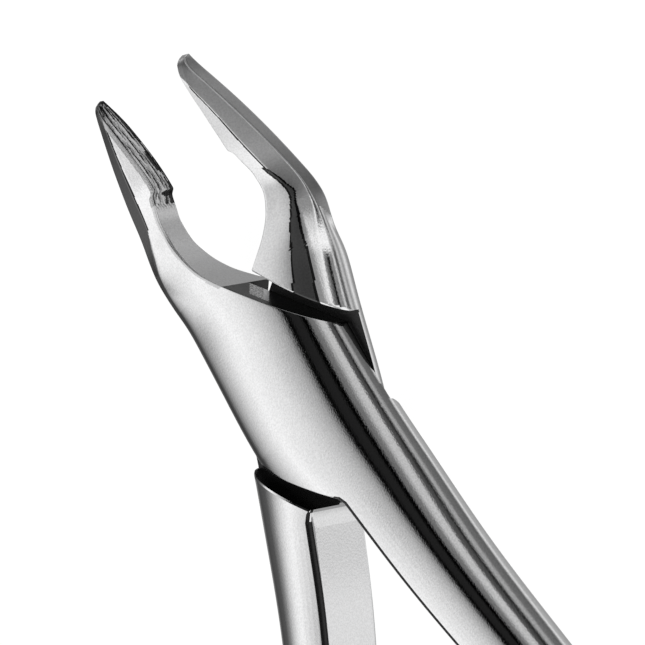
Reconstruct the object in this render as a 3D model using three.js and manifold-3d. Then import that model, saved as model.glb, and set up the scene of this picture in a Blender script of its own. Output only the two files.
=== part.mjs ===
// Dental extraction forceps: two forged halves that cross in a lap joint on a flush rivet.
// Units are millimetres and +Z is up. The forceps lies on its back, with the hinge axis along Z
// through the origin, the beaks towards +Y and the handles towards -Y.
//
// Each half is drawn closed, about its own centre line, with z measured from the lap plane.
// Its beak is on the left (-X) and its handle on the right (+X); the other half is its mirror image,
// with the opposite layer of the joint.
import * as THREE from "three";
import { mergeVertices } from "three/addons/utils/BufferGeometryUtils.js";
import Module from "manifold-3d";

const wasm = await Module();
wasm.setup();

// ---- driving dimensions ----
const JOINT_HALF_WIDTH = 8.65;
const JOINT_HALF_DEPTH = 4.6;
const BACK_DEPTH = 4.1;          // the back is ground flat at this depth below the lap plane
const OPEN_ANGLE = THREE.MathUtils.degToRad(8);  // each half's turn from closed in the rest pose
const GAP = 0.3;                 // clearance between neighbouring pieces

// Corners of the joint, in a half's closed outline.
const CROTCH = [0, 14.9];              // where the two beaks' inner walls meet when closed
const LAYER_TOP = [8.8, 5.03];         // the layer's upper edge runs from the crotch to here
const LAYER_LOW = [-8.7, -1.2];        // the layer's lower edge runs from here to the handle root
const HANDLE_ROOT = [0.75, -10.3];
const SHOULDER_TOP = [-7.9, 8.7];      // the beak's full-depth shoulder runs from the crotch to here
const SHOULDER_LOW = [8.7, -4.0];      // the handle's full-depth shoulder runs from here
const SHOULDER_ROOT = [0.5, -9.75];    // to here

const RIVET = { shank: 2.6, head: 3.2, headDepth: 1.2, frontHead: 3.3, neck: 1.5, top: 3.1 };

// Inner wall of the beak: x at each y, from the crotch round the throat to the tip.
const BEAK_INNER = [
  [14.9, 0], [16, -0.9], [18, -2.3], [20, -3.2], [22, -3.6], [24, -3.3], [25.6, -2.6],
  [26.6, -2.1], [27.1, -1.5], [31.4, -0.95], [35.5, -0.66], [37.3, -0.72],
];
// Inner wall of the handle: x at each y, from the root to the end.
const HANDLE_INNER = [
  [-138, 11.4], [-128, 10.8], [-110, 12.6], [-90, 13.8], [-70, 13.4], [-50, 10.6],
  [-36, 6.55], [-20.7, 2.6], [-10.3, 0.75],
];

// ---- cross-sections ----
// A section is a hexagon with rounded corners, listed counter-clockwise from the front right:
// front right, front left, left, back left, back right, right. round is 0 for a sharp corner and
// 1 for one that takes half of each side.
const OVAL_SHORT = 0.598;   // with OVAL_LONG, makes the fully rounded hexagon an ellipse
const OVAL_LONG = 1.134;

// widest is the height of the oval's two sides, and innerDrop lowers its front on the left.
function oval(y, centre, halfWidth, halfDepth, widest = 0, innerDrop = 0) {
  const short = OVAL_SHORT * halfWidth;
  const long = OVAL_LONG * halfWidth;
  return {
    y,
    corners: [
      [centre + short, halfDepth], [centre - short, halfDepth - innerDrop],
      [centre - long, widest],
      [centre - short, -halfDepth], [centre + short, -halfDepth],
      [centre + long, widest],
    ],
    round: [1, 1, 1, 1, 1, 1],
  };
}

// A beak section: its outer side has a front edge, a ridge and a back edge. The side towards the
// other beak is cut off by BEAK_INNER, so its right-hand corners only carry the faces past it.
function beak(y, innerTop, frontEdge, ridge, backEdge, innerLow, round) {
  return {
    y,
    corners: [[3, innerTop], frontEdge, ridge, backEdge, [3, innerLow], [4, (innerTop + innerLow) / 2]],
    round: [0.3, ...round, 0.3, 0.3],
  };
}

const SECTIONS = [
  oval(-138, 13.0, 2.6, 2.4),
  oval(-137, 13.0, 3.7, 3.4),
  oval(-134, 13.1, 4.6, 4.0),
  oval(-128, 13.6, 4.9, 4.15),
  oval(-110, 15.5, 5.4, 4.2),
  oval(-90, 16.5, 5.3, 4.2),
  oval(-70, 15.1, 5.3, 4.2),
  oval(-50, 11.3, 5.8, 4.2, 0, 0.3),
  oval(-36, 7.75, 6.35, 4.25, -0.2, 0.5),
  oval(-20, 3.75, 7.1, 4.4, -0.35, 0.5),
  oval(-10, 1.65, 8.0, 4.55, -0.2, 0.2),
  oval(-3, 0.25, JOINT_HALF_WIDTH, JOINT_HALF_DEPTH),
  oval(2, 0, JOINT_HALF_WIDTH, JOINT_HALF_DEPTH, 0.2),
  oval(8, 0, 8.55, JOINT_HALF_DEPTH, 0.4),
  {
    y: 14,
    corners: [[4.4, 4.25], [-5.3, 4.3], [-9.45, 0.75], [-6.2, -4.1], [4.4, -4], [8, 0]],
    round: [1, 0.95, 0.95, 1, 1, 1],
  },
  beak(17, 4.25, [-6.4, 3.9], [-8.85, 1.7], [-8.4, -0.7], -3, [0.8, 0.7, 0.8]),
  beak(20, 4.3, [-6.9, 3.4], [-8.5, 2.3], [-9.0, 0.2], -1.7, [0.4, 0.3, 0.6]),
  beak(22, 4.4, [-6.35, 3.45], [-8.05, 2.6], [-8.45, 0.6], -0.9, [0.2, 0.2, 0.5]),
  beak(24, 4.5, [-5.25, 4.05], [-7.3, 3.1], [-7.6, 1.1], 0, [0.14, 0.16, 0.5]),
  beak(27.5, 4.2, [-3.85, 5.4], [-5.9, 4.4], [-6.1, 2.2], 1.5, [0.12, 0.16, 0.5]),
  beak(31, 5.4, [-2.57, 6.65], [-4.27, 5.75], [-4.5, 3.5], 2.65, [0.12, 0.16, 0.5]),
  beak(34, 6.8, [-1.3, 7.7], [-2.74, 6.85], [-2.95, 4.7], 4.2, [0.12, 0.16, 0.5]),
  beak(36.3, 8, [-0.38, 8.25], [-1.55, 7.6], [-1.8, 5.9], 5.5, [0.2, 0.2, 0.4]),
  beak(36.9, 7.5, [-0.55, 7.7], [-1.4, 7.35], [-1.55, 6.2], 5.9, [0.3, 0.3, 0.5]),
  beak(37.3, 6.95, [-0.85, 6.95], [-1.3, 6.8], [-1.3, 6.4], 6.3, [0.3, 0.5, 0.5]),
];

const STATIONS = [
  -138, -137.5, -137, -136, -134, -131, -128, -122, -116, -110, -103, -96, -90, -83, -76, -70, -63,
  -56, -50, -45, -40, -36, -32, -28, -24, -20.7, -17, -14, -12, -10.3, -8, -6, -4, -2.5, -1.2, 0, 2, 3.5,
  5.03, 6.2, 7.5, 9, 10.5, 12, 13.5, 14.9, 16, 17, 18, 19, 20, 21, 22, 23, 24, 25, 25.8, 26.6, 27.1,
  28.5, 30, 31.4, 33, 34.5, 35.5, 36.3, 36.6, 36.9, 37.3,
];
const FRONT_STEPS = 14;     // points along a section's front, and along its back
const FRONT_SHARE = 6;      // how many of them come before the front edge
const BACK_SHARE = 5;       // and how many before the back edge
const CORNER_STEPS = 6;     // points round each corner of the hexagon

// Monotone cubic through [position, value] knots, positions rising.
function smoothTrack(knots) {
  const last = knots.length - 1;
  const rise = (i) => (knots[i + 1][1] - knots[i][1]) / (knots[i + 1][0] - knots[i][0]);
  const slope = knots.map((_, i) => {
    if (i === 0) return rise(0);
    if (i === last) return rise(last - 1);
    const before = rise(i - 1);
    const after = rise(i);
    return before * after <= 0 ? 0 : (2 * before * after) / (before + after);
  });
  return (at) => {
    const y = THREE.MathUtils.clamp(at, knots[0][0], knots[last][0]);
    let i = 0;
    while (i < last - 1 && y > knots[i + 1][0]) i += 1;
    const span = knots[i + 1][0] - knots[i][0];
    const t = (y - knots[i][0]) / span;
    const s = 1 - t;
    return (
      knots[i][1] * s * s * (1 + 2 * t) + slope[i] * span * t * s * s
      + knots[i + 1][1] * t * t * (3 - 2 * t) - slope[i + 1] * span * t * t * s
    );
  };
}

const track = (pick) => smoothTrack(SECTIONS.map((section) => [section.y, pick(section)]));
const cornerTracks = SECTIONS[0].corners.map((_, i) => ({
  x: track((section) => section.corners[i][0]),
  z: track((section) => section.corners[i][1]),
  round: track((section) => section.round[i]),
}));
const beakInner = smoothTrack(BEAK_INNER);
const handleInner = smoothTrack(HANDLE_INNER);

const along = (from, to, t) => from.map((value, i) => value + (to[i] - value) * t);

// x on the straight line through two outline corners.
function lineX(a, b, y) {
  return a[0] + ((b[0] - a[0]) * (y - a[1])) / (b[1] - a[1]);
}

// How far a section reaches to the right and to the left before a flat wall cuts it off.
function rightWall(y) {
  if (y >= CROTCH[1]) return beakInner(y);
  return y > LAYER_TOP[1] ? lineX(CROTCH, LAYER_TOP, y) : Infinity;
}
function leftWall(y) {
  if (y <= HANDLE_ROOT[1]) return handleInner(y);
  return y < LAYER_LOW[1] ? lineX(LAYER_LOW, HANDLE_ROOT, y) : -Infinity;
}

// The whole rounded hexagon at y, as [x, z] points counter-clockwise.
function hexagonCurve(y) {
  const corners = cornerTracks.map((corner) => [corner.x(y), corner.z(y)]);
  const points = [];
  corners.forEach((corner, i) => {
    const reach = cornerTracks[i].round(y) / 2;
    const start = along(corner, corners[(i + 5) % 6], reach);
    const end = along(corner, corners[(i + 1) % 6], reach);
    for (let k = 0; k <= CORNER_STEPS; k += 1) {
      const t = k / CORNER_STEPS;
      points.push(along(along(start, corner, t), along(corner, end, t), t));
    }
  });
  return points;
}

// Part of a branch between two x limits, with the given share of its points before the corner.
function clipBranch(branch, lowX, highX, corner, share) {
  const kept = [];
  branch.forEach((point, i) => {
    if (i > 0) {
      const before = branch[i - 1];
      const crossings = [lowX, highX]
        .map((x) => (x - before[0]) / (point[0] - before[0]))
        .filter((t) => t > 0 && t < 1)
        .sort((a, b) => a - b);
      crossings.forEach((t) => kept.push(along(before, point, t)));
    }
    if (point[0] >= lowX && point[0] <= highX) kept.push(point);
  });
  const lengths = [0];
  for (let i = 1; i < kept.length; i += 1) {
    const step = Math.hypot(kept[i][0] - kept[i - 1][0], kept[i][1] - kept[i - 1][1]);
    lengths.push(lengths[i - 1] + step);
  }
  const total = lengths[lengths.length - 1];
  const distances = kept.map((point) => Math.hypot(point[0] - corner[0], point[1] - corner[1]));
  const nearest = lengths[distances.indexOf(Math.min(...distances))];
  const middle = THREE.MathUtils.clamp(nearest, total / 4, (total * 3) / 4);
  return Array.from({ length: FRONT_STEPS + 1 }, (_, k) => {
    const after = (total - middle) / (FRONT_STEPS - share);
    const want = k <= share ? (middle * k) / share : middle + after * (k - share);
    let i = 0;
    while (i < kept.length - 2 && lengths[i + 1] < want) i += 1;
    const span = lengths[i + 1] - lengths[i];
    return along(kept[i], kept[i + 1], span > 0 ? Math.min(1, (want - lengths[i]) / span) : 0);
  });
}

// A section at y: the hexagon cut off by the flat walls, with its back ground flat. Its front runs
// from the middle of the right corner to the middle of the left one, and its back returns.
function sectionAt(y) {
  const curve = hexagonCurve(y);
  const first = 5 * (CORNER_STEPS + 1) + CORNER_STEPS / 2;
  const halfway = 3 * (CORNER_STEPS + 1);
  const turned = [...curve.slice(first), ...curve.slice(0, first + 1)];
  const xs = turned.map((point) => point[0]);
  const low = Math.max(leftWall(y), Math.min(...xs));
  const high = Math.min(rightWall(y), Math.max(...xs));
  const corners = cornerTracks.map((corner) => [corner.x(y), corner.z(y)]);
  const front = clipBranch(turned.slice(0, halfway + 1), low, high, corners[1], FRONT_SHARE);
  const back = clipBranch(turned.slice(halfway), low, high, corners[3], BACK_SHARE);
  return [...front, ...back].map(([x, z]) => new THREE.Vector3(x, y, Math.max(z, -BACK_DEPTH)));
}

// ---- solids ----
function toSolid(geometry) {
  const bare = new THREE.BufferGeometry();
  bare.setAttribute("position", geometry.getAttribute("position"));
  bare.setIndex(geometry.getIndex());
  const merged = mergeVertices(bare, 1e-4);
  const index = merged.getIndex().array;
  const kept = [];
  for (let i = 0; i < index.length; i += 3) {
    const [a, b, c] = index.slice(i, i + 3);
    if (a !== b && b !== c && c !== a) kept.push(a, b, c);
  }
  return new wasm.Manifold(new wasm.Mesh({
    numProp: 3,
    vertProperties: new Float32Array(merged.getAttribute("position").array),
    triVerts: new Uint32Array(kept),
  }));
}

function toGeometry(solid) {
  const mesh = solid.getMesh();
  const geometry = new THREE.BufferGeometry();
  geometry.setAttribute("position", new THREE.BufferAttribute(new Float32Array(mesh.vertProperties), 3));
  geometry.setIndex(new THREE.BufferAttribute(new Uint32Array(mesh.triVerts), 1));
  geometry.computeVertexNormals();
  return geometry;
}

// A closed skin over rings of equal length, with a flat cap at each end.
function loft(rings) {
  const count = rings[0].length;
  const positions = rings.flat().flatMap((point) => point.toArray());
  const index = [];
  for (let r = 0; r < rings.length - 1; r += 1) {
    for (let k = 0; k < count; k += 1) {
      const next = (k + 1) % count;
      const a = r * count + k;
      const b = r * count + next;
      index.push(a, b + count, b, a, a + count, b + count);
    }
  }
  const last = (rings.length - 1) * count;
  for (let k = 1; k < count - 1; k += 1) {
    index.push(0, k, k + 1);
    index.push(last, last + k + 1, last + k);
  }
  const geometry = new THREE.BufferGeometry();
  geometry.setAttribute("position", new THREE.Float32BufferAttribute(positions, 3));
  geometry.setIndex(index);
  return geometry;
}

// A prism over an outline in XY, from one z to another.
function prism(outline, low, high) {
  const shape = new THREE.Shape(outline.map(([x, y]) => new THREE.Vector2(x, y)));
  const geometry = new THREE.ExtrudeGeometry(shape, { depth: high - low, bevelEnabled: false });
  geometry.translate(0, 0, low);
  return geometry;
}

// A turned solid on the hinge axis, from a profile of [radius, z] points.
function turned(profile) {
  const geometry = new THREE.LatheGeometry(profile.map(([r, z]) => new THREE.Vector2(r, z)), 40);
  geometry.rotateX(Math.PI / 2);
  return geometry;
}

// The rivet's profile, or the pocket round it when grown by a clearance.
function rivetProfile(grow) {
  const back = -BACK_DEPTH - (grow > 0 ? 1 : 0);
  return [
    [0, back],
    [RIVET.head + grow, back],
    [RIVET.head + grow, -BACK_DEPTH],
    [RIVET.shank + grow, -BACK_DEPTH + RIVET.headDepth],
    [RIVET.shank + grow, RIVET.neck],
    [RIVET.frontHead + grow, RIVET.top - 0.4],
    [RIVET.frontHead + grow, RIVET.top + grow],
    [0, RIVET.top + grow],
  ].filter(([r, z], i, all) => i === 0 || r !== all[i - 1][0] || z !== all[i - 1][1]);
}

// The room that the other half's layer takes behind this half's layer: everything behind the lap
// plane between the two shoulders.
function lapRoom() {
  const far = 14;
  const topLine = (x) => CROTCH[1] + ((SHOULDER_TOP[1] - CROTCH[1]) * x) / (SHOULDER_TOP[0] - CROTCH[0]);
  const lowSlope = (SHOULDER_LOW[1] - SHOULDER_ROOT[1]) / (SHOULDER_LOW[0] - SHOULDER_ROOT[0]);
  const lowLine = (x) => SHOULDER_ROOT[1] + lowSlope * (x - SHOULDER_ROOT[0]);
  return prism([
    [-far, topLine(-far)], [-far, SHOULDER_ROOT[1]], SHOULDER_ROOT,
    [far, lowLine(far)], [far, topLine(0.4)], [0.4, topLine(0.4)],
  ], -10, GAP / 2);
}

// The front half, closed, with z from the lap plane.
function closedHalf() {
  const blank = toSolid(loft(STATIONS.map(sectionAt)));
  return blank.subtract(toSolid(lapRoom()));
}

function frontHalf() {
  return toGeometry(closedHalf().subtract(toSolid(turned(rivetProfile(GAP)))));
}

// The rear half is the blank's mirror image, cut in front of the lap plane instead of behind it.
function rearHalf() {
  const blank = toSolid(loft(STATIONS.map(sectionAt)));
  const room = lapRoom();
  room.scale(1, 1, -1);
  const flipped = flipWinding(room);
  const cut = blank.subtract(toSolid(flipped)).subtract(toSolid(turned(rivetProfile(GAP))));
  const mirrored = toGeometry(cut);
  mirrored.scale(-1, 1, 1);
  return flipWinding(mirrored);
}

// A mirrored mesh has its faces the wrong way round until each triangle is turned over.
function flipWinding(geometry) {
  const source = geometry.getIndex()
    ? Array.from(geometry.getIndex().array)
    : Array.from({ length: geometry.getAttribute("position").count }, (_, i) => i);
  for (let i = 0; i < source.length; i += 3) {
    [source[i + 1], source[i + 2]] = [source[i + 2], source[i + 1]];
  }
  geometry.setIndex(source);
  geometry.computeVertexNormals();
  return geometry;
}

// ---- assembly ----
function steel(colour, roughness) {
  return new THREE.MeshStandardMaterial({ color: colour, roughness, metalness: 1 });
}

function place(name, geometry, material, angle) {
  const mesh = new THREE.Mesh(geometry, material);
  mesh.name = name;
  mesh.position.z = BACK_DEPTH;
  mesh.rotation.z = angle;
  return mesh;
}

const forceps = new THREE.Group();
const polished = steel(0xd4d6d8, 0.12);
forceps.add(place("front_half", frontHalf(), polished, OPEN_ANGLE));
forceps.add(place("rear_half", rearHalf(), polished, -OPEN_ANGLE));
forceps.add(place("pivot_rivet", turned(rivetProfile(0)), steel(0xc9cbcd, 0.2), -OPEN_ANGLE));

export default forceps;
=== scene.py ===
"""Dental extraction forceps in polished steel: two forged halves in a lap joint on a flush rivet.

The halves' shape is worked out in millimetres, as in the frame: each half is drawn closed about its
own centre line, with its beak on the left, its handle on the right and z from the lap plane, and is
then turned open. The rear half is the front one's mirror image with the other layer of the joint.
"""
import math

import bmesh
import bpy
import numpy as np
from mathutils import Matrix, Vector


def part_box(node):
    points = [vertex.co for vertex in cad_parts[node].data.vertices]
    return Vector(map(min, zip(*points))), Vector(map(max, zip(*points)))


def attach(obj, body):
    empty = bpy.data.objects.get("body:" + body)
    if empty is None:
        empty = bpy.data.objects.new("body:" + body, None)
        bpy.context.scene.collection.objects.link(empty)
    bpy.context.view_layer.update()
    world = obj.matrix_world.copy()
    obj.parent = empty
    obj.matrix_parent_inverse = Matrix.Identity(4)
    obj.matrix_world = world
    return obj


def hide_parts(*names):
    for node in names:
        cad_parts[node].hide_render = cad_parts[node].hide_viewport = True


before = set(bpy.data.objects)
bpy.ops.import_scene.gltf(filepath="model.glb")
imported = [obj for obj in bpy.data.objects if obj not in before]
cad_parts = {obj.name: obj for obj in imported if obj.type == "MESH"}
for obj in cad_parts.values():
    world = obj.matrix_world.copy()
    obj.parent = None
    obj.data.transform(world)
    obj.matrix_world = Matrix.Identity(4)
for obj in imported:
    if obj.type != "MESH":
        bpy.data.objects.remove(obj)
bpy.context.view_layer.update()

MM = 0.001

# ---- driving dimensions, in millimetres ----
JOINT_HALF_WIDTH = 8.65
JOINT_HALF_DEPTH = 4.6
BACK_DEPTH = -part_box("pivot_rivet")[0][2] / MM + 4.1   # the flat back lies this far under the lap plane
OPEN_ANGLE = math.radians(8)
LAP_GAP = 0.06            # between the two layers
POCKET_GAP = 0.05         # round the rivet
CHAMFER = 0.16            # along the shoulders' outer edges: its width on the outer surface
CHAMFER_DROP = 0.8        # and its depth down the shoulder, as a share of that

# Corners of the joint, in a half's closed outline.
CROTCH = (0, 14.9)              # where the two beaks' inner walls meet when closed
LAYER_TOP = (8.8, 5.03)         # the layer's upper edge runs from the crotch to here
LAYER_LOW = (-8.7, -1.2)        # the layer's lower edge runs from here to the handle root
HANDLE_ROOT = (0.75, -10.3)
SHOULDER_TOP = (-7.9, 8.7)      # the beak's full-depth shoulder runs from the crotch to here
SHOULDER_LOW = (8.7, -4.0)      # the handle's full-depth shoulder runs from here
SHOULDER_ROOT = (0.5, -9.75)    # to here

RIVET_SHANK = 2.6
RIVET_HEAD = 3.2
RIVET_HEAD_DEPTH = 1.2
RIVET_RIM = 0.05                # the head's straight edge at the back
RIVET_TOP = 3.1

TIP = 37.3
END = -138

# Inner wall of the beak: x at each y, from the crotch round the throat to the tip.
BEAK_INNER = [
    (14.9, 0), (16, -0.9), (18, -2.3), (20, -3.2), (22, -3.6), (24, -3.3), (25.6, -2.6),
    (26.6, -2.1), (27.1, -1.5), (31.4, -0.95), (35.5, -0.66), (37.3, -0.72),
]
# Inner wall of the handle: x at each y, from the end to the root.
HANDLE_INNER = [
    (-138, 11.4), (-128, 10.8), (-110, 12.6), (-90, 13.8), (-70, 13.4), (-50, 10.6),
    (-36, 6.55), (-20.7, 2.6), (-10.3, 0.75),
]
# Radius of the rounded edge where an inner wall meets the front and the back.
BEAK_EDGE = [(5.7, 0.1), (14.9, 0.15), (18, 0.3), (24, 0.3), (26.6, 0.16), (30, 0.1), (37.3, 0.06)]
HANDLE_EDGE = [
    (-138, 1.4), (-128, 1.8), (-62, 1.6), (-46, 0.55), (-10.3, 0.6), (-9.3, 0.3), (-8.5, 0.1), (-1.2, 0.1),
]

# Flutes cut along the inside of the beak.
FLUTES = 7
FLUTE_DEPTH = 0.42
FLUTES_FROM = 25.4
FLUTE_RUN_IN = 0.9        # length over which they reach their full depth
FLUTE_RUN_OUT = 1.2       # and lose it again towards the tip
FLUTE_FINISH_FROM = FLUTES_FROM + 0.5

# Cross-cut grip on the outside of the handles.
GRIP_FROM = -130
GRIP_TO = -62
GRIP_PITCH = 1.5
GRIP_DEPTH = 0.16
GRIP_SLANT = 0.8
GRIP_FADE = 3             # length over which the pattern reaches its full depth
GRIP_MARGIN = (1.2, 2.4)  # from the inner side, where the pattern starts and is at its full depth

# Where the steel's finish changes, and where painted shade, painted reflections and a painted highlight are
# laid on it.
FACET_END = 20.3          # y where the satin facet between the beak's front edge and ridge stops
OUTER_END = 17.8          # y where the satin outer strip stops, beside the middle of the strip
OUTER_SLANT = 1.1         # how much sooner it stops for each millimetre nearer the ridge
OUTER_MIDDLE = 1.6        # the strip's middle is this far behind the ridge
# The dark line beside the beak's front edge is painted: a painted dark reflection along the edge.
FRONT_LINE = 0.2          # width of the dark line beside the beak's front edge
ABOVE_RIDGE = 0.06        # the facet stays this far in front of the ridge
BELOW_RIDGE = 0.16        # and the outer strip this far behind it
FRONT_FROM = 2            # z above which a surface counts as the front
# The handle's dark inner edge is painted: a painted dark reflection along its rounding.
HANDLE_LINE_FROM = -52    # y from which the handle's inner edge is dark
# Painted patches on the layer's upper wall, a speckled painted reflection and a painted highlight, in y at
# the lap plane, with their upright sides' slant.
PAINTED_SPECKLED_REFLECTION_PATCH = (13.4, 14.75)
PAINTED_HIGHLIGHT_PATCH = (12.85, 13.4)
PATCH_TOP = 3.1
PATCH_SLANT = 0.6
# A painted dark band on the neck's front, a painted dark reflection: x of its inner and outer edge at each
# y.
BAND_INNER = [(11, -4.2), (13.3, -4.6), (15.8, -5.2), (20, -6.3), (20.7, -6.5), (24.4, -4.6)]
BAND_OUTER = [
    (11, -6.6), (15.3, -6.9), (19.9, -7.1), (21.2, -7.27), (22.3, -6.6), (23.35, -5.9), (24.4, -5.05),
]
BAND_TOP = 24.4           # y of the band's end beside the beak
BAND_EDGE = 0.24          # width of its borders

# The order of the finishes in a half's material list; several of them are painted shade, painted reflections
# and a painted highlight.
(POLISHED, FACET, OUTER, NECK, GROUND_AND_PAINTED_SHADE, FLUTE, PAINTED_DARK_BAND, PAINTED_DARK_BAND_BORDER, NECK_FRONT_PAINTED_SHEEN, PAINTED_SPECKLED_REFLECTION, PAINTED_HIGHLIGHT) = range(11)

# Corners of a fully rounded hexagon that comes close to an ellipse, as shares of its half width.
OVAL_SHORT = 0.598
OVAL_LONG = 1.134


# ---- sections ----
def oval(y, centre, half_width, half_depth, widest=0, inner_drop=0):
    """A fully rounded hexagon close to an ellipse, counter-clockwise from the front right."""
    short = OVAL_SHORT * half_width
    long = OVAL_LONG * half_width
    corners = [
        (centre + short, half_depth), (centre - short, half_depth - inner_drop), (centre - long, widest),
        (centre - short, -half_depth), (centre + short, -half_depth), (centre + long, widest),
    ]
    return y, corners, [1] * 6


def beak(y, inner_top, front_edge, ridge, back_edge, inner_low, rounding):
    """A beak section: front edge, ridge and back edge on its outer side."""
    right = [(3, inner_top), (3, inner_low), (4, (inner_top + inner_low) / 2)]
    corners = [right[0], front_edge, ridge, back_edge, right[1], right[2]]
    return y, corners, [0.3] + rounding + [0.3, 0.3]


SECTIONS = [
    oval(-138, 13.0, 2.6, 2.4),
    oval(-137, 13.0, 3.7, 3.4),
    oval(-134, 13.1, 4.6, 4.0),
    oval(-128, 13.6, 4.9, 4.15),
    oval(-110, 15.5, 5.4, 4.2),
    oval(-90, 16.5, 5.3, 4.2),
    oval(-70, 15.1, 5.3, 4.2),
    oval(-50, 11.3, 5.8, 4.2, 0, 0.3),
    oval(-36, 7.75, 6.35, 4.25, -0.2, 0.5),
    oval(-20, 3.75, 7.1, 4.4, -0.35, 0.5),
    oval(-10, 1.65, 8.0, 4.55, -0.2, 0.2),
    oval(-3, 0.25, JOINT_HALF_WIDTH, JOINT_HALF_DEPTH),
    oval(2, 0, JOINT_HALF_WIDTH, JOINT_HALF_DEPTH, 0.2),
    oval(8, 0, 8.55, JOINT_HALF_DEPTH, 0.4),
    (
        14,
        [(4.4, 4.25), (-5.3, 4.3), (-9.45, 0.75), (-6.2, -4.1), (4.4, -4), (8, 0)],
        [1, 0.95, 0.95, 1, 1, 1],
    ),
    beak(17, 4.25, (-6.4, 3.9), (-8.85, 1.7), (-8.4, -0.7), -3, [0.8, 0.7, 0.8]),
    beak(20, 4.3, (-6.9, 3.4), (-8.5, 2.3), (-9.0, 0.2), -1.7, [0.4, 0.3, 0.6]),
    beak(22, 4.4, (-6.35, 3.45), (-8.05, 2.6), (-8.45, 0.6), -0.9, [0.2, 0.2, 0.5]),
    beak(24, 4.5, (-5.25, 4.05), (-7.3, 3.1), (-7.6, 1.1), 0, [0.14, 0.16, 0.5]),
    beak(27.5, 4.2, (-3.85, 5.4), (-5.9, 4.4), (-6.1, 2.2), 1.5, [0.12, 0.16, 0.5]),
    beak(31, 5.4, (-2.57, 6.65), (-4.27, 5.75), (-4.5, 3.5), 2.65, [0.12, 0.16, 0.5]),
    beak(34, 6.8, (-1.3, 7.7), (-2.74, 6.85), (-2.95, 4.7), 4.2, [0.12, 0.16, 0.5]),
    beak(36.3, 8, (-0.38, 8.25), (-1.55, 7.6), (-1.8, 5.9), 5.5, [0.2, 0.2, 0.4]),
    beak(36.9, 7.5, (-0.55, 7.7), (-1.4, 7.35), (-1.55, 6.2), 5.9, [0.3, 0.3, 0.5]),
    beak(37.3, 6.95, (-0.85, 6.95), (-1.3, 6.8), (-1.3, 6.4), 6.3, [0.3, 0.5, 0.5]),
]
# How far to each side of y a corner's track is averaged.
SMOOTHING = [
    (-138, 0), (-136, 0.3), (-128, 2), (-100, 5), (-30, 5), (8, 3.5), (16, 2), (22, 1), (28, 0.8),
    (35, 0.4), (36, 0.1), (37.3, 0),
]

FRONT_STEPS = 64      # points along a section's front, and along its back
CORNER_STEPS = 14     # points round each corner of the hexagon
EDGE_STEPS = 6        # points round an inner wall's edge
WALL_STEPS = 72       # points across an inner wall
FRONT_SHARE = 0.45    # share of the front's points before the front edge
BACK_SHARE = 0.35     # share of the back's points before the back edge


def smooth_track(knots):
    """A monotone cubic through (position, value) knots, for one position or an array of them."""
    xs = np.array([k[0] for k in knots], float)
    vs = np.array([k[1] for k in knots], float)
    rise = np.diff(vs) / np.diff(xs)
    slope = np.empty_like(vs)
    slope[0] = rise[0]
    slope[-1] = rise[-1]
    for i in range(1, len(vs) - 1):
        same_way = rise[i - 1] * rise[i] > 0
        slope[i] = 2 * rise[i - 1] * rise[i] / (rise[i - 1] + rise[i]) if same_way else 0

    def value(at):
        y = np.clip(at, xs[0], xs[-1])
        i = np.clip(np.searchsorted(xs, y) - 1, 0, len(xs) - 2)
        span = xs[i + 1] - xs[i]
        t = (y - xs[i]) / span
        s = 1 - t
        return (vs[i] * s * s * (1 + 2 * t) + slope[i] * span * t * s * s
                + vs[i + 1] * t * t * (3 - 2 * t) - slope[i + 1] * span * t * t * s)

    return value


def evened(track):
    """The same track averaged over a short stretch, so reflections flow across its knots."""
    fine = 0.02
    at = np.arange(END, TIP + fine, fine)
    offsets = np.linspace(-1, 1, 9)
    weights = 1 - np.abs(offsets) * 0.9
    mean = sum(w * track(at + smoothing(at) * o) for w, o in zip(weights, offsets)) / weights.sum()
    return lambda y: float(np.interp(y, at, mean))


smoothing = smooth_track(SMOOTHING)
corner_tracks = [
    tuple(evened(smooth_track([(y, pick(corners, rounds, i)) for y, corners, rounds in SECTIONS]))
          for pick in (lambda c, r, i: c[i][0], lambda c, r, i: c[i][1], lambda c, r, i: r[i]))
    for i in range(6)
]
band_inner = smooth_track(BAND_INNER)
band_outer = smooth_track(BAND_OUTER)
beak_inner = smooth_track(BEAK_INNER)
handle_inner = smooth_track(HANDLE_INNER)
beak_edge = smooth_track(BEAK_EDGE)
handle_edge = smooth_track(HANDLE_EDGE)


def line_x(a, b, y):
    """x on the straight line through two outline corners."""
    return a[0] + (b[0] - a[0]) * (y - a[1]) / (b[1] - a[1])


def right_wall(y):
    """x where the flat wall on the right cuts a section off, or infinity where there is none."""
    if y >= CROTCH[1]:
        return beak_inner(y)
    return line_x(CROTCH, LAYER_TOP, y) if y > LAYER_TOP[1] else math.inf


def left_wall(y):
    """The same on the left."""
    if y <= HANDLE_ROOT[1]:
        return handle_inner(y)
    return line_x(LAYER_LOW, HANDLE_ROOT, y) if y < LAYER_LOW[1] else -math.inf


def shoulder_y(x):
    """y on the beak's shoulder line."""
    return CROTCH[1] + (SHOULDER_TOP[1] - CROTCH[1]) * (x - CROTCH[0]) / (SHOULDER_TOP[0] - CROTCH[0])


def smooth_step(low, high, value):
    """0 at low, 1 at high and smooth between."""
    t = np.clip((value - low) / (high - low), 0, 1)
    return t * t * (3 - 2 * t)


def hexagon_curve(y):
    """The whole rounded hexagon at y, as x and z columns, counter-clockwise."""
    corners = np.array([(x(y), z(y)) for x, z, _ in corner_tracks])
    t = np.linspace(0, 1, CORNER_STEPS + 1)[:, None]
    points = []
    for i, corner in enumerate(corners):
        reach = corner_tracks[i][2](y) / 2
        start = corner + (corners[i - 1] - corner) * reach
        end = corner + (corners[(i + 1) % 6] - corner) * reach
        points.append(start * (1 - t) ** 2 + corner * 2 * t * (1 - t) + end * t * t)
    return np.concatenate(points)


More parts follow.
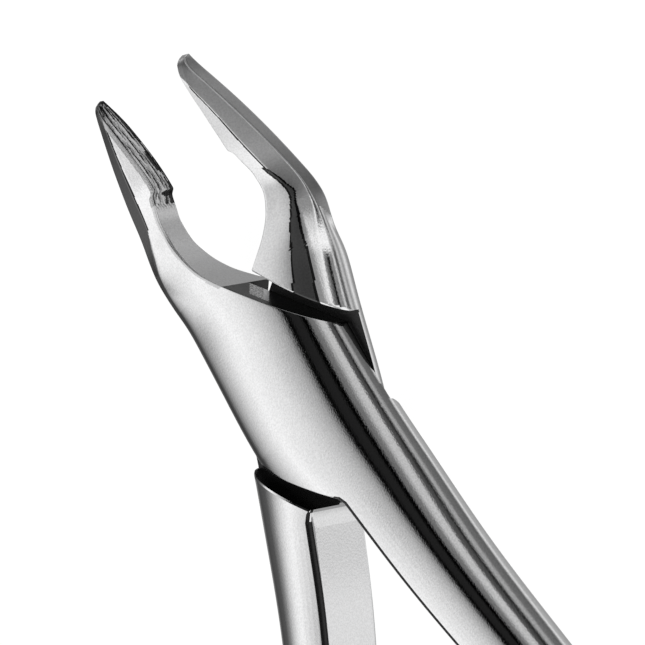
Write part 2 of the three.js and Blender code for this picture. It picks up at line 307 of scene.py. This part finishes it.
def clip_branch(branch, low_x, high_x):
    """The part of a branch between two x limits. The branch's x only rises or only falls."""
    kept = []
    for i, point in enumerate(branch):
        if i:
            before = branch[i - 1]
            step = point[0] - before[0]
            if abs(step) > 1e-9:
                crossings = sorted(t for t in ((x - before[0]) / step for x in (low_x, high_x)) if 0 < t < 1)
                kept += [before + (point - before) * t for t in crossings]
        if low_x - 1e-9 <= point[0] <= high_x + 1e-9:
            kept.append(point)
    return np.array(kept)


def resample(points, trim_start, trim_end, corner, share):
    """Points along a line of points, with a set share of them before the point nearest a corner."""
    lengths = np.concatenate([[0], np.cumsum(np.hypot(*np.diff(points, axis=0).T))])
    start = trim_start
    end = lengths[-1] - trim_end
    nearest = lengths[int(np.argmin(np.hypot(*(points - corner).T)))]
    middle = min(max(nearest, start + 0.25 * (end - start)), end - 0.25 * (end - start))
    first = int(round(share * FRONT_STEPS))
    want = np.concatenate([
        np.linspace(start, middle, first + 1), np.linspace(middle, end, FRONT_STEPS - first + 1)[1:],
    ])
    return np.stack([np.interp(want, lengths, points[:, k]) for k in (0, 1)], 1)


def fillet(start, corner, end):
    """The points of a rounded edge, without its two ends."""
    t = (np.arange(1, EDGE_STEPS) / EDGE_STEPS)[:, None]
    return start * (1 - t) ** 2 + corner * 2 * t * (1 - t) + end * t * t


def flutes(wall, y, top_first):
    """Cuts the beak's flutes into the wall's points, into the steel."""
    run_in = smooth_step(FLUTES_FROM, FLUTES_FROM + FLUTE_RUN_IN, y)
    reach = run_in * smooth_step(TIP, TIP - FLUTE_RUN_OUT, y)
    across = np.linspace(0, 1, len(wall))
    if not top_first:
        across = 1 - across
    wander = 0.06 * np.sin(1.7 * y) + 0.05 * np.sin(0.9 * y + 2)
    phase = across * FLUTES + wander
    groove = np.abs(phase % 1 - 0.5) * 2
    uneven = 0.75 + 0.25 * np.sin(2.4 * np.floor(phase) + 0.8 * y)
    inside = smooth_step(0, 0.05, across) * smooth_step(1, 0.95, across)
    wall[:, 0] -= FLUTE_DEPTH * reach * uneven * inside * (1 - groove)
    return wall


def grip(points, y):
    """Cuts the handle's cross pattern into the outer side of a section's front or back."""
    run_in = smooth_step(GRIP_FROM, GRIP_FROM + GRIP_FADE, y)
    reach = float(run_in * smooth_step(GRIP_TO, GRIP_TO - GRIP_FADE, y))
    if reach == 0:
        return points
    tangent = np.gradient(points, axis=0)
    tangent /= np.maximum(np.hypot(*tangent.T), 1e-9)[:, None]
    inward = np.stack([-tangent[:, 1], tangent[:, 0]], 1)
    lengths = np.concatenate([[0], np.cumsum(np.hypot(*np.diff(points, axis=0).T))])
    outer_first = points[0, 0] > points[-1, 0]
    around = lengths if outer_first else lengths[-1] - lengths
    cut = np.zeros(len(points))
    for way in (1, -1):
        phase = (GRIP_SLANT * around + way * y) / GRIP_PITCH
        cut = np.maximum(cut, 1 - np.abs(phase % 1 - 0.5) * 4)
    margin = smooth_step(lengths[-1] - GRIP_MARGIN[0], lengths[-1] - GRIP_MARGIN[1], around)
    return points + inward * (GRIP_DEPTH * reach * margin * cut)[:, None]


def section_at(y):
    """A closed ring of x, z points: front, left wall, back, right wall, with rounded edges."""
    curve = hexagon_curve(y)
    first = 5 * (CORNER_STEPS + 1) + CORNER_STEPS // 2
    turned = np.concatenate([curve[first:], curve[:first + 1]])
    middle = 3 * (CORNER_STEPS + 1)
    low = max(left_wall(y), turned[:, 0].min())
    high = min(right_wall(y), turned[:, 0].max())
    front = clip_branch(turned[:middle + 1], low, high)
    back = clip_branch(turned[middle:], low, high)
    left_height = max(front[-1][1] - back[0][1], 0)
    right_height = max(front[0][1] - back[-1][1], 0)
    left_round = min(handle_edge(y), 0.42 * left_height)
    right_round = min(beak_edge(y), 0.3 * right_height)
    corners = [np.array([x(y), z(y)]) for x, z, _ in corner_tracks]
    front_line = grip(resample(front, right_round, left_round, corners[1], FRONT_SHARE), y)
    back_line = grip(resample(back, left_round, right_round, corners[3], BACK_SHARE), y)
    down = np.array([0, 1.0])
    walls = {}
    for side, top, low_end, rounding in (
        ("left", front[-1], back[0], left_round), ("right", front[0], back[-1], right_round),
    ):
        upper = top - down * rounding
        lower = low_end + down * rounding
        t = np.linspace(0, 1, WALL_STEPS + 1)[:, None]
        walls[side] = (upper, lower, upper * (1 - t) + lower * t)
    left_upper, left_lower, left_points = walls["left"]
    right_upper, right_lower, right_points = walls["right"]
    ring = [
        front_line,
        fillet(front_line[-1], front[-1], left_upper), left_points,
        fillet(left_lower, back[0], back_line[0]),
        back_line,
        fillet(back_line[-1], back[-1], right_lower), flutes(right_points[::-1].copy(), y, False),
        fillet(right_upper, front[0], front_line[0]),
    ]
    return np.concatenate(ring)


def spread(low, high, step):
    """Evenly spaced places from low up to, but not at, high, about a step apart."""
    return list(np.linspace(low, high, max(2, int(round((high - low) / step)) + 1)))[:-1]


STATIONS = (
    spread(END, -137, 0.1) + spread(-137, -131, 0.5) + spread(-131, -61, 0.28)
    + spread(-61, -36, 1) + spread(-36, -10, 0.8) + spread(-10, -1.5, 0.4) + spread(-1.5, 4, 0.5)
    + spread(4, 8, 0.12) + spread(8, 11, 0.3) + spread(11, 14.9, 0.1)
    + spread(14.9, 26.6, 0.25) + spread(26.6, 27.1, 0.08)
    + spread(27.1, 35.5, 0.25) + spread(35.5, 36.8, 0.12) + spread(36.8, TIP, 0.06) + [TIP]
)


# ---- meshes ----
def mesh_object(name, verts, faces):
    """A new object in the scene from points and faces."""
    mesh = bpy.data.meshes.new(name)
    mesh.from_pydata([tuple(v) for v in verts], [], faces)
    obj = bpy.data.objects.new(name, mesh)
    bpy.context.scene.collection.objects.link(obj)
    return obj


def clean(obj):
    """Merges doubled points, drops empty faces and points every face out."""
    work = bmesh.new()
    work.from_mesh(obj.data)
    bmesh.ops.remove_doubles(work, verts=work.verts, dist=2e-4)
    bmesh.ops.dissolve_degenerate(work, edges=work.edges, dist=1e-5)
    bmesh.ops.recalc_face_normals(work, faces=work.faces)
    work.to_mesh(obj.data)
    work.free()


def blank(name):
    """One half before it is cut: a skin over all its sections."""
    rings = [section_at(y) for y in STATIONS]
    count = len(rings[0])
    verts = [(x, y, z) for y, ring in zip(STATIONS, rings) for x, z in ring]
    faces = []
    for r in range(len(rings) - 1):
        base = r * count
        for k in range(count):
            nxt = (k + 1) % count
            faces.append((base + k, base + count + k, base + count + nxt, base + nxt))
    faces.append(tuple(range(count)))
    last = (len(rings) - 1) * count
    faces.append(tuple(last + k for k in reversed(range(count))))
    obj = mesh_object(name, verts, faces)
    clean(obj)
    return obj


def prism(name, outline, low, high):
    """A closed prism over an outline in XY, listed counter-clockwise."""
    n = len(outline)
    verts = [(x, y, low) for x, y in outline] + [(x, y, high) for x, y in outline]
    faces = [tuple(reversed(range(n))), tuple(range(n, 2 * n))]
    faces += [(i, (i + 1) % n, n + (i + 1) % n, n + i) for i in range(n)]
    return mesh_object(name, verts, faces)


def turned_solid(name, profile, around=96):
    """A closed solid turned about the hinge axis from (radius, z) points that start and end on it."""
    inner = profile[1:-1]
    verts = [(0, 0, profile[0][1]), (0, 0, profile[-1][1])]
    for i in range(around):
        a = 2 * math.pi * i / around
        verts += [(r * math.cos(a), r * math.sin(a), z) for r, z in inner]
    m = len(inner)
    faces = []
    for i in range(around):
        here = 2 + i * m
        there = 2 + ((i + 1) % around) * m
        faces.append((0, there, here))
        faces += [(here + k, there + k, there + k + 1, here + k + 1) for k in range(m - 1)]
        faces.append((1, here + m - 1, there + m - 1))
    return mesh_object(name, verts, faces)


def cut(obj, tool):
    """Takes the tool's shape out of the object, for good, and deletes the tool."""
    modifier = obj.modifiers.new("cut", "BOOLEAN")
    modifier.operation = "DIFFERENCE"
    modifier.solver = "EXACT"
    modifier.object = tool
    bpy.context.view_layer.update()
    made = bpy.data.meshes.new_from_object(obj.evaluated_get(bpy.context.evaluated_depsgraph_get()))
    obj.modifiers.clear()
    obj.data = made
    bpy.data.objects.remove(tool, do_unlink=True)


def lap_outline():
    """The outline of the room that the other half's layer takes, between the two shoulders."""
    far = 14
    past_crotch = 0.4
    top_slope = (SHOULDER_TOP[1] - CROTCH[1]) / (SHOULDER_TOP[0] - CROTCH[0])
    low_slope = (SHOULDER_LOW[1] - SHOULDER_ROOT[1]) / (SHOULDER_LOW[0] - SHOULDER_ROOT[0])
    crotch_y = CROTCH[1] + past_crotch * top_slope
    return [
        (-far, CROTCH[1] - far * top_slope), (-far, SHOULDER_ROOT[1]), SHOULDER_ROOT,
        (far, SHOULDER_ROOT[1] + low_slope * (far - SHOULDER_ROOT[0])),
        (far, crotch_y), (past_crotch, crotch_y),
    ]


def rivet_profile(grow):
    """The rivet's profile, or the pocket round it when grown by a gap."""
    back = -BACK_DEPTH - (1 if grow else 0)
    return [
        (0, back), (RIVET_HEAD + grow, back), (RIVET_HEAD + grow, -BACK_DEPTH + RIVET_RIM),
        (RIVET_SHANK + grow, -BACK_DEPTH + RIVET_HEAD_DEPTH), (RIVET_SHANK + grow, RIVET_TOP + grow),
        (0, RIVET_TOP + grow),
    ]


def chamfer_shoulder(obj, a, b, room_side):
    """A small bevel along a shoulder's outer edge a-b, on the side (1 or -1) of the lap plane it is on."""
    along = Vector((b[0] - a[0], b[1] - a[1], 0)).normalized()
    into = Vector((along.y, -along.x, 0))
    start = Vector((a[0], a[1], 0))
    far = math.dist(a, b) + 2
    work = bmesh.new()
    work.from_mesh(obj.data)
    everything = work.verts[:] + work.edges[:] + work.faces[:]
    bmesh.ops.bisect_plane(work, geom=everything, plane_co=start + into * CHAMFER, plane_no=into)
    for vert in work.verts:
        offset = vert.co - start
        depth = offset.dot(into)
        on_edge = -3e-3 < depth < CHAMFER and -0.2 < offset.dot(along) < far
        if on_edge and vert.co.z * room_side > 0.4:
            vert.co.z -= room_side * CHAMFER_DROP * (CHAMFER - max(depth, 0))
    work.to_mesh(obj.data)
    work.free()


def near_line(x, y, a, b):
    """Whether a point lies on the upright wall through two outline corners."""
    return abs((x - a[0]) * (b[1] - a[1]) - (y - a[1]) * (b[0] - a[0])) < 0.05 * math.dist(a, b)


def flute_finish(y, z, nz):
    """The finish of a face on the beak's inner wall; the flutes' sides that face away from the front are
    painted near black, painted shade.
    """
    if y < FLUTE_FINISH_FROM:
        return NECK
    top = corner_tracks[0][1](y)
    low = corner_tracks[4][1](y)
    # The flutes' sides that face away from the front are painted near black: painted shade.
    return GROUND_AND_PAINTED_SHADE if nz < 0.35 + 0.6 * (top - z) / (top - low) else FLUTE


def beak_finish(x, y, z, nz):
    """The finish of a face on the outside of the beak and its neck, or None for plain polished steel."""
    front_edge = corner_tracks[1][0](y)
    ridge_z = corner_tracks[2][1](y)
    on_facet_side = z > ridge_z + ABOVE_RIDGE
    past_band = y >= BAND_TOP
    facet_start = front_edge if past_band else band_outer(y)
    if y > FACET_END and x < facet_start + 0.03 and on_facet_side:
        return FACET
    # A painted dark line beside the front edge: a painted dark reflection.
    if past_band and x < front_edge + FRONT_LINE and on_facet_side:
        return GROUND_AND_PAINTED_SHADE
    outer_end = OUTER_END + OUTER_SLANT * (z - ridge_z + OUTER_MIDDLE)
    if y > outer_end and x < 0 and corner_tracks[3][1](y) < z < ridge_z - BELOW_RIDGE:
        return OUTER
    faces_front = z > FRONT_FROM and nz > 0.2
    if not faces_front or y <= shoulder_y(x):
        return None
    if past_band:
        # The neck front's bright satin is a painted sheen, a painted reflection.
        return NECK_FRONT_PAINTED_SHEEN if x >= front_edge + FRONT_LINE else None
    # The dark band and its borders are painted: a painted dark reflection on the neck's front.
    if band_outer(y) < x < band_inner(y):
        on_border = min(x - band_outer(y), band_inner(y) - x) < BAND_EDGE
        return PAINTED_DARK_BAND_BORDER if on_border else PAINTED_DARK_BAND
    return NECK_FRONT_PAINTED_SHEEN if x >= band_inner(y) else None


def handle_finish(x, y, z, nx):
    """The finish of a face on the handle, which has a painted dark line, a painted dark reflection, along
    its inner edge.
    """
    from_wall = x - left_wall(y)
    on_handle = HANDLE_LINE_FROM < y < HANDLE_ROOT[1] + 0.6
    on_edge = on_handle and z > FRONT_FROM and 0.01 < from_wall < handle_edge(y) - 0.03
    return GROUND_AND_PAINTED_SHADE if on_edge and nx < -0.12 else POLISHED


def joint_finish(x, y, z, nz):
    """The finish of a face on the joint: its lap face and its upright walls are finished by grinding and
    painted near black, painted shade between the layers.
    """
    if abs(nz) >= 0.5:
        return GROUND_AND_PAINTED_SHADE if abs(z) < LAP_GAP else POLISHED
    on_layer_top = near_line(x, y, CROTCH, LAYER_TOP)
    # Painted patches: a speckled painted reflection and a painted highlight.
    if on_layer_top and z > 0 and x > 0 and z < PATCH_TOP:
        upright = y + PATCH_SLANT * z
        if PAINTED_SPECKLED_REFLECTION_PATCH[0] < upright < PAINTED_SPECKLED_REFLECTION_PATCH[1]:
            return PAINTED_SPECKLED_REFLECTION
        if PAINTED_HIGHLIGHT_PATCH[0] < upright < PAINTED_HIGHLIGHT_PATCH[1]:
            return PAINTED_HIGHLIGHT
    on_wall = (
        on_layer_top or near_line(x, y, LAYER_LOW, HANDLE_ROOT)
        or near_line(x, y, CROTCH, SHOULDER_TOP) or near_line(x, y, SHOULDER_LOW, SHOULDER_ROOT)
    )
    return GROUND_AND_PAINTED_SHADE if on_wall else POLISHED


def finish_of(x, y, z, nx, nz):
    """Which of the finishes a face of the closed half has, from its centre and its normal."""
    if y > CROTCH[1] and x > right_wall(y) - FLUTE_DEPTH - 0.05:
        return flute_finish(y, z, nz)
    finish = beak_finish(x, y, z, nz)
    if finish is not None:
        return finish
    if y > CROTCH[1] + 0.5 or y < HANDLE_ROOT[1] + 0.6:
        return handle_finish(x, y, z, nx)
    return joint_finish(x, y, z, nz)


def finish_faces(obj):
    """Gives every face its finish."""
    for face in obj.data.polygons:
        (x, y, z), (nx, _, nz) = face.center, face.normal
        face.material_index = finish_of(x, y, z, nx, nz)
    obj.data.update()


def settle(obj, angle):
    """Turns a finished piece open, lifts it onto the table and brings it to metres."""
    obj.data.transform(
        Matrix.Scale(MM, 4) @ Matrix.Translation((0, 0, BACK_DEPTH)) @ Matrix.Rotation(angle, 4, "Z")
    )
    obj.data.set_sharp_from_angle(angle=SHARP_ANGLE)
    obj.data.polygons.foreach_set("use_smooth", [True] * len(obj.data.polygons))


def make_half(name, is_front, finishes):
    """The front half, or the rear one as its mirror image with the other layer of the joint."""
    half = blank(name)
    far = 160
    back_plane = prism("back_plane", [(-far, -far), (far, -far), (far, far), (-far, far)], -20, -BACK_DEPTH)
    cut(half, back_plane)
    if is_front:
        room = prism("room", lap_outline(), -20, LAP_GAP / 2)
    else:
        room = prism("room", lap_outline(), -LAP_GAP / 2, 20)
    cut(half, room)
    pocket = turned_solid("pocket", rivet_profile(POCKET_GAP))
    cut(half, pocket)
    clean(half)
    room_side = -1 if is_front else 1
    chamfer_shoulder(half, CROTCH, SHOULDER_TOP, room_side)
    chamfer_shoulder(half, SHOULDER_ROOT, SHOULDER_LOW, room_side)
    for finish in finishes:
        half.data.materials.append(finish)
    finish_faces(half)
    if not is_front:
        half.data.transform(Matrix.Scale(-1, 4, (1, 0, 0)))
        half.data.flip_normals()
    settle(half, OPEN_ANGLE if is_front else -OPEN_ANGLE)
    return half


# ---- camera ----
VIEW_WIDTH = 64.5             # millimetres across the picture, at the joint
CAMERA_DISTANCE = 1100        # millimetres
CAMERA_SIDE = Vector((0.607, -0.155, 0.779)).normalized()
CAMERA_ROLL = math.radians(21.2)
AIM_RIGHT = 0.72              # the picture's centre, from the hinge axis at the lap plane
AIM_UP = 8.77


def make_camera():
    """A long lens from the front, to one side and rolled."""
    up = Vector((0, 1, 0))
    level_up = (up - CAMERA_SIDE * up.dot(CAMERA_SIDE)).normalized()
    level_right = level_up.cross(CAMERA_SIDE)
    right = level_right * math.cos(CAMERA_ROLL) - level_up * math.sin(CAMERA_ROLL)
    upward = level_right * math.sin(CAMERA_ROLL) + level_up * math.cos(CAMERA_ROLL)
    aim = Vector((0, 0, BACK_DEPTH)) + right * AIM_RIGHT + upward * AIM_UP
    data = bpy.data.cameras.new("camera")
    data.sensor_width = 36
    data.lens = data.sensor_width * CAMERA_DISTANCE / VIEW_WIDTH
    data.clip_start = 0.05
    data.clip_end = 50
    camera = bpy.data.objects.new("camera", data)
    place = Matrix((right, upward, CAMERA_SIDE)).transposed().to_4x4()
    place.translation = (aim + CAMERA_SIDE * CAMERA_DISTANCE) * MM
    camera.matrix_world = place
    bpy.context.scene.collection.objects.link(camera)
    bpy.context.scene.camera = camera


# ---- materials ----
GRAIN = 0.15              # how much darker the finest specks are
SHARP_ANGLE = math.radians(38)    # edges that turn by more than this look sharp


def new_material(name):
    """A node material with its tree's nodes, links and main shader."""
    material = bpy.data.materials.new(name)
    material.use_nodes = True
    tree = material.node_tree
    return material, tree.nodes, tree.links, tree.nodes["Principled BSDF"]


def noise(nodes, links, scale, stretch, detail=4):
    """A noise texture in the object's own space, stretched along one or more axes."""
    place = nodes.new("ShaderNodeTexCoord")
    mapping = nodes.new("ShaderNodeMapping")
    mapping.inputs["Scale"].default_value = stretch
    texture = nodes.new("ShaderNodeTexNoise")
    texture.inputs["Scale"].default_value = scale
    texture.inputs["Detail"].default_value = detail
    links.new(place.outputs["Object"], mapping.inputs["Vector"])
    links.new(mapping.outputs["Vector"], texture.inputs["Vector"])
    return texture.outputs["Fac"]


def ranged(nodes, links, source, low, high):
    """A noise's middle range stretched to run from low to high."""
    node = nodes.new("ShaderNodeMapRange")
    node.inputs["From Min"].default_value = 0.3
    node.inputs["From Max"].default_value = 0.7
    node.inputs["To Min"].default_value = low
    node.inputs["To Max"].default_value = high
    links.new(source, node.inputs["Value"])
    return node.outputs["Result"]


def steel(name, shade, rough_low, rough_high, bump, bump_scale=7000, grain_depth=GRAIN):
    """Steel with soft changes of polish and a very fine grain."""
    material, nodes, links, shader = new_material(name)
    shader.inputs["Metallic"].default_value = 1
    grain = ranged(nodes, links, noise(nodes, links, 5500, (1, 1, 1), 1), 1 - grain_depth, 1)
    tint = nodes.new("ShaderNodeVectorMath")
    tint.operation = "SCALE"
    tint.inputs[0].default_value = (shade, shade, shade * 1.005)
    links.new(grain, tint.inputs["Scale"])
    links.new(tint.outputs[0], shader.inputs["Base Color"])
    patches = noise(nodes, links, 160, (1, 0.5, 1))
    links.new(ranged(nodes, links, patches, rough_low, rough_high), shader.inputs["Roughness"])
    marks = noise(nodes, links, bump_scale, (1, 0.7, 1), 2)
    bump_node = nodes.new("ShaderNodeBump")
    bump_node.inputs["Strength"].default_value = bump
    bump_node.inputs["Distance"].default_value = 0.00002
    links.new(marks, bump_node.inputs["Height"])
    links.new(bump_node.outputs["Normal"], shader.inputs["Normal"])
    return material


def satin_steel(name, shade):
    """Steel with an even satin finish."""
    return steel(name, shade, 0.3, 0.4, 0.5, 5200)


# ---- surroundings ----
# Greys seen in the steel (0 black, 255 white) by direction round the handles' axis, in degrees
# from straight up towards +X. One row for each slant of direction towards the beaks or the handles.
SURROUND_BEAKWARD = [
    (-180, 160), (-130, 140), (-112, 70), (-86, 84), (-74, 130), (-58, 218), (-46, 250), (-34, 230),
    (-22, 198), (-11, 165), (-5, 125), (-1, 14), (3, 8), (6, 36), (18, 38), (22, 4), (27, 2), (30, 104),
    (38, 114), (48, 188), (60, 192), (65, 84), (73, 74), (79, 4), (89, 166), (97, 150), (103, 108),
    (132, 95), (145, 220), (158, 175), (180, 160),
]
SURROUND_LEVEL = [
    (-180, 150), (-122, 74), (-110, 56), (-102, 78), (-90, 142), (-74, 194), (-52, 250), (-34, 216),
    (-26, 182), (-21, 140), (-18, 14), (-14, 50), (0, 42), (5, 8), (12, 2), (16, 126), (36, 144),
    (42, 205), (50, 242), (53, 140), (61, 90), (66, 6), (70, 30), (74, 142), (82, 120), (90, 210),
    (99, 95), (106, 90), (118, 198), (136, 140), (158, 224), (180, 150),
]
SURROUND_HANDLEWARD = [
    (-180, 150), (-120, 170), (-90, 205), (-70, 222), (-50, 246), (-16, 252), (-6, 200), (4, 172),
    (24, 165), (36, 190), (44, 245), (84, 245), (94, 170), (112, 190), (130, 222), (152, 222), (180, 180),
]


def linear(grey):
    """Light that shows as a grey between 0 and 255."""
    return (grey / 255) ** 2.2


def direction_ramp(nodes, links, turn, stops):
    """The greys of one row by direction, with a full turn as 0 to 1."""
    ramp = nodes.new("ShaderNodeValToRGB")
    ramp.color_ramp.interpolation = "LINEAR"
    elements = ramp.color_ramp.elements
    while len(elements) < len(stops):
        elements.new(1)
    for element, (angle, grey) in zip(elements, stops):
        element.position = (angle + 180) / 360
        element.color = (linear(grey), linear(grey), linear(grey), 1)
    links.new(turn, ramp.inputs["Fac"])
    return ramp.outputs["Color"]


def make_world():
    """White studio walls with dark gaps between them, as the steel's bright and dark bands show.

    The three rows of greys pass into each other over a short range of how far a direction points
    along Y, towards the beaks.
    """
    world = bpy.data.worlds.new("studio")
    bpy.context.scene.world = world
    world.use_nodes = True
    nodes = world.node_tree.nodes
    links = world.node_tree.links
    nodes.clear()
    place = nodes.new("ShaderNodeTexCoord")
    split = nodes.new("ShaderNodeSeparateXYZ")
    links.new(place.outputs["Generated"], split.inputs["Vector"])
    angle = nodes.new("ShaderNodeMath")
    angle.operation = "ARCTAN2"
    links.new(split.outputs["X"], angle.inputs[0])
    links.new(split.outputs["Z"], angle.inputs[1])
    turn = nodes.new("ShaderNodeMapRange")
    turn.inputs["From Min"].default_value = -math.pi
    turn.inputs["From Max"].default_value = math.pi
    links.new(angle.outputs[0], turn.inputs["Value"])
    light = direction_ramp(nodes, links, turn.outputs["Result"], SURROUND_HANDLEWARD)
    for low, high, stops in ((-0.28, -0.18, SURROUND_LEVEL), (0.08, 0.2, SURROUND_BEAKWARD)):
        next_light = direction_ramp(nodes, links, turn.outputs["Result"], stops)
        side = nodes.new("ShaderNodeMapRange")
        side.interpolation_type = "SMOOTHSTEP"
        side.inputs["From Min"].default_value = low
        side.inputs["From Max"].default_value = high
        links.new(split.outputs["Y"], side.inputs["Value"])
        mix = nodes.new("ShaderNodeMixRGB")
        links.new(side.outputs["Result"], mix.inputs["Fac"])
        links.new(light, mix.inputs["Color1"])
        links.new(next_light, mix.inputs["Color2"])
        light = mix.outputs["Color"]
    surround = nodes.new("ShaderNodeBackground")
    links.new(light, surround.inputs["Color"])
    surround.inputs["Strength"].default_value = 1.1
    plain = nodes.new("ShaderNodeBackground")
    plain.inputs["Color"].default_value = (1, 1, 1, 1)
    seen = nodes.new("ShaderNodeLightPath")
    choose = nodes.new("ShaderNodeMixShader")
    links.new(seen.outputs["Is Camera Ray"], choose.inputs["Fac"])
    links.new(surround.outputs[0], choose.inputs[1])
    links.new(plain.outputs[0], choose.inputs[2])
    output = nodes.new("ShaderNodeOutputWorld")
    links.new(choose.outputs[0], output.inputs["Surface"])


def make_floor():
    """A plain pale floor. The steel reflects the studio's surround instead of it."""
    size = 3
    corners = [(-size, -size, 0), (size, -size, 0), (size, size, 0), (-size, size, 0)]
    floor = mesh_object("floor", corners, [(0, 1, 2, 3)])
    floor.location.z = -0.0002
    material, nodes, links, shader = new_material("pale_floor")
    shader.inputs["Base Color"].default_value = (0.12, 0.12, 0.12, 1)
    shader.inputs["Roughness"].default_value = 0.9
    shader.inputs["Specular IOR Level"].default_value = 0
    shader.inputs["Emission Color"].default_value = (1, 1, 1, 1)
    shader.inputs["Emission Strength"].default_value = 0.97
    floor.data.materials.append(material)
    floor.visible_glossy = False


# ---- the scene ----
bpy.context.scene.view_settings.view_transform = "Standard"
make_camera()
make_world()
make_floor()

# Name, shade, lowest and highest roughness and bump, then where they differ the bump's scale and
# the grain's depth.
polished = steel("polished_steel", 0.93, 0.015, 0.035, 0.3)
satin = satin_steel("satin_steel", 0.8)
# The front half's facet is a dark copy of the satin: a painted dark reflection.
facet_front_painted_dark = satin_steel("satin_steel_left_painted_dark", 0.2)
facet_rear = satin_steel("satin_steel_right", 0.8)
outer = satin_steel("satin_steel_outer", 0.5)
# A bright satin that is a painted sheen, a painted reflection on the rear half's neck and flutes.
neck = satin_steel("satin_steel_neck_painted_sheen", 1.0)
# Near black: partly a finish from grinding, partly painted shade in the joint and on the flutes, and painted
# dark lines along edges.
ground_and_painted_shade = steel("ground_steel_painted_shade", 0.04, 0.22, 0.35, 0.8)
fluted = steel("fluted_steel", 0.5, 0.08, 0.2, 1.0)
rivet_metal = steel("rivet_steel", 0.86, 0.08, 0.14, 0.4)
# A painted dark band: a painted dark reflection on the neck's front.
band = steel("painted_dark_band_steel", 0.13, 0.5, 0.6, 0.8)
# Speckled light and dark: a painted reflection on the layer's upper wall.
painted_speckled_reflection = steel("painted_speckled_reflection_steel", 1.0, 0.3, 0.5, 1.0, 2600, 0.85)
# A painted highlight on the layer's upper wall.
bright = steel("painted_highlight_patch_steel", 1.0, 0.5, 0.6, 0.2)

# Only the rear half has the painted sheen, a bright satin, on its inner neck, flutes and neck front, with
# its painted dark band, and only the front half has the painted patches on its layer's upper wall.
front_finishes = (
    polished, facet_front_painted_dark, outer, satin, ground_and_painted_shade, fluted, polished, polished, polished, painted_speckled_reflection, bright,
)
rear_finishes = (
    polished, facet_rear, outer, neck, ground_and_painted_shade, neck, band, ground_and_painted_shade, neck, ground_and_painted_shade, ground_and_painted_shade,
)

front_half = make_half("front_half_steel", True, front_finishes)
rear_half = make_half("rear_half_steel", False, rear_finishes)
rivet = turned_solid("rivet_steel", rivet_profile(0))
settle(rivet, -OPEN_ANGLE)
rivet.data.materials.append(rivet_metal)

for piece, body, node, slot in (
    (front_half, "front_half", "front_half", "polished_steel"),
    (rear_half, "rear_half", "rear_half", "polished_steel"),
    (rivet, "rear_half", "pivot_rivet", "rivet_steel"),
):
    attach(piece, body)
    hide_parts(node)
